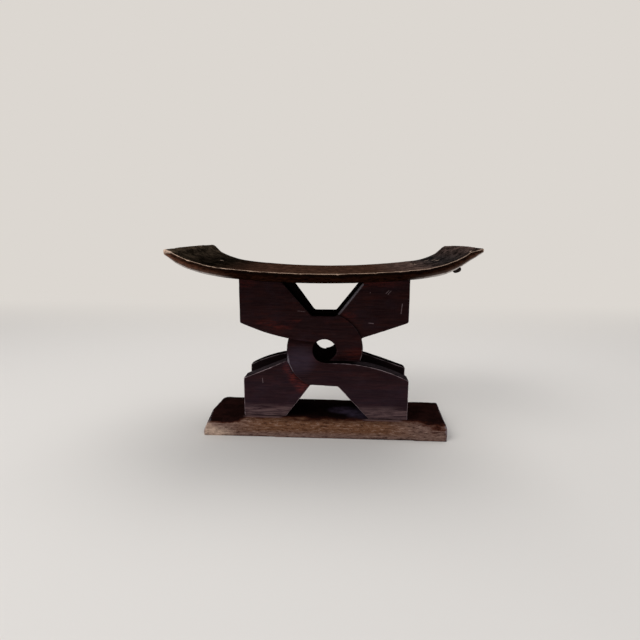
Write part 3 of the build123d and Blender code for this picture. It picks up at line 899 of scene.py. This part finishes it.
class STOOL_OT_peg_and_dowels(bpy.types.Operator):
    """Make the seat's peg, and finish the dowels that hold the boards"""
    bl_idname = "stool.peg_and_dowels"
    bl_label = "Peg and Dowels"

    def execute(self, context):
        peg = worn_board("seat_peg", "seat_peg_worn", context.scene.stool_wear.peg_mesh,
                         turned_wood("stained_peg", "1A0B09"), (), Heavy_Passes=6, Dent_Depth=0.8 * MM,
                         Dent_Size=6 * MM, Nick_Depth=0.4 * MM)
        hand_over(peg, "seat_peg")
        bare = turned_wood("bare_dowel", "B08A62")
        for name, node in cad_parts.items():
            if name.endswith("dowels"):
                node.data.materials.clear()
                node.data.materials.append(bare)
        return {"FINISHED"}


class STOOL_OT_stage(bpy.types.Operator):
    """Set up the floor, the light and the camera"""
    bl_idname = "stool.stage"
    bl_label = "Stage"

    def execute(self, context):
        stage = context.scene.stool_stage
        self.make_floor(stage)
        self.make_light(context, stage)
        self.make_camera(context, stage)
        context.scene.view_settings.view_transform = "Standard"
        return {"FINISHED"}

    def make_floor(self, stage):
        """A floor that sweeps up into a backdrop far behind the stool."""
        half_width, front, bend, radius, top, steps = 9.0, -4.0, 3.0, 1.5, 5.0, 12
        arc = [math.pi / 2 * i / steps for i in range(steps + 1)]
        line = [(front, 0.0)] + [(bend + radius * math.sin(a), radius * (1 - math.cos(a))) for a in arc]
        line.append((bend + radius, top))
        points = [(x, y, z) for y, z in line for x in (-half_width, half_width)]
        faces = [(2 * i, 2 * i + 1, 2 * i + 3, 2 * i + 2) for i in range(len(line) - 1)]
        mesh = bpy.data.meshes.new("floor")
        mesh.from_pydata(points, [], faces)
        for face in mesh.polygons:
            face.use_smooth = True
        floor = show(bpy.data.objects.new("floor", mesh))
        mesh.materials.append(self.floor_paint(tuple(stage.floor)))

    def floor_paint(self, colour):
        """Matt pale paint; the far part, behind the stool, is seen as its plain colour in any light."""
        material, tree, shader, place = wood("pale_floor")
        shader.inputs["Base Color"].default_value = colour
        shader.inputs["Roughness"].default_value = 0.9
        ray = add_node(tree, "ShaderNodeLightPath").outputs
        seen = maths(tree, "MAXIMUM", ray["Is Camera Ray"],
                     maths(tree, "MAXIMUM", ray["Is Glossy Ray"], ray["Is Transmission Ray"]))
        far = eased(tree, axis_of(tree, place, 1), 0.5, 2.0)
        plain = add_node(tree, "ShaderNodeEmission", {"Color": colour, "Strength": 1.0})
        both = add_node(tree, "ShaderNodeMixShader", {0: maths(tree, "MULTIPLY", seen, far),
                                                      1: shader.outputs[0], 2: plain.outputs[0]})
        tree.links.new(both.outputs[0], tree.nodes["Material Output"].inputs["Surface"])
        return material

    def make_light(self, context, stage):
        """Even light from all round, and large soft lamps high on the left and behind."""
        world = bpy.data.worlds.new("studio")
        world.use_nodes = True
        sky = world.node_tree.nodes["Background"]
        sky.inputs["Color"].default_value = linear("F2F5FA")
        sky.inputs["Strength"].default_value = stage.sky
        context.scene.world = world
        for name, place, size, watts in LAMPS:
            light = bpy.data.lights.new(name, "AREA")
            light.shape = "RECTANGLE"
            light.size, light.size_y = size
            light.energy = watts
            lamp = show(bpy.data.objects.new(name, light))
            lamp.location = place
            lamp.rotation_euler = (Vector(LIT_PLACE) - Vector(place)).to_track_quat("-Z", "Y").to_euler()

    def make_camera(self, context, stage):
        """A wide lens a little above the seat, turned slightly to the left."""
        lens = bpy.data.cameras.new("camera")
        lens.lens = stage.lens
        camera = show(bpy.data.objects.new("camera", lens))
        camera.matrix_world = (Matrix.Translation(Vector(stage.eye)) @ Matrix.Rotation(stage.turn, 4, "Z")
                               @ Matrix.Rotation(math.pi / 2 - stage.tilt, 4, "X")
                               @ Matrix.Rotation(stage.roll, 4, "Z"))
        context.scene.camera = camera


# Soft lamps: name, place, width and height in metres, watts; and the place that they all face
LAMPS = [
    ("window", (-1.6, -1.6, 2.4), (1.8, 1.4), 36.0),
    ("ceiling", (0.4, 0.9, 2.8), (2.4, 1.6), 30.0),
]
LIT_PLACE = (0.0, 0.0, 0.2)


class STOOL_PT_panel(bpy.types.Panel):
    """The stool's pieces and their settings, in the 3D view's sidebar"""
    bl_label = "Ashanti Stool"
    bl_idname = "STOOL_PT_panel"
    bl_space_type = "VIEW_3D"
    bl_region_type = "UI"
    bl_category = "Stool"

    def draw(self, context):
        for title, group in (("Wear", "stool_wear"), ("Wood", "stool_wood"), ("Stage", "stool_stage")):
            box = self.layout.box()
            box.label(text=title)
            settings = getattr(context.scene, group)
            for name in settings.bl_rna.properties.keys():
                if name not in ("rna_type", "name"):
                    box.prop(settings, name)
        for operator in OPERATORS:
            self.layout.operator(operator.bl_idname)


SETTINGS = {"stool_wear": STOOL_PG_wear, "stool_wood": STOOL_PG_wood, "stool_stage": STOOL_PG_stage}
OPERATORS = [STOOL_OT_stage, STOOL_OT_seat, STOOL_OT_knot_boards, STOOL_OT_base, STOOL_OT_peg_and_dowels]


def register():
    for name, group in SETTINGS.items():
        bpy.utils.register_class(group)
        setattr(bpy.types.Scene, name, PointerProperty(type=group))
    for part in OPERATORS + [STOOL_PT_panel]:
        bpy.utils.register_class(part)


def unregister():
    for part in reversed(OPERATORS + [STOOL_PT_panel]):
        bpy.utils.unregister_class(part)
    for name, group in SETTINGS.items():
        delattr(bpy.types.Scene, name)
        bpy.utils.unregister_class(group)


def main():
    register()
    bpy.ops.stool.stage()
    bpy.ops.stool.seat()
    bpy.ops.stool.knot_boards()
    bpy.ops.stool.base()
    bpy.ops.stool.peg_and_dowels()


if __name__ == "__main__":
    main()
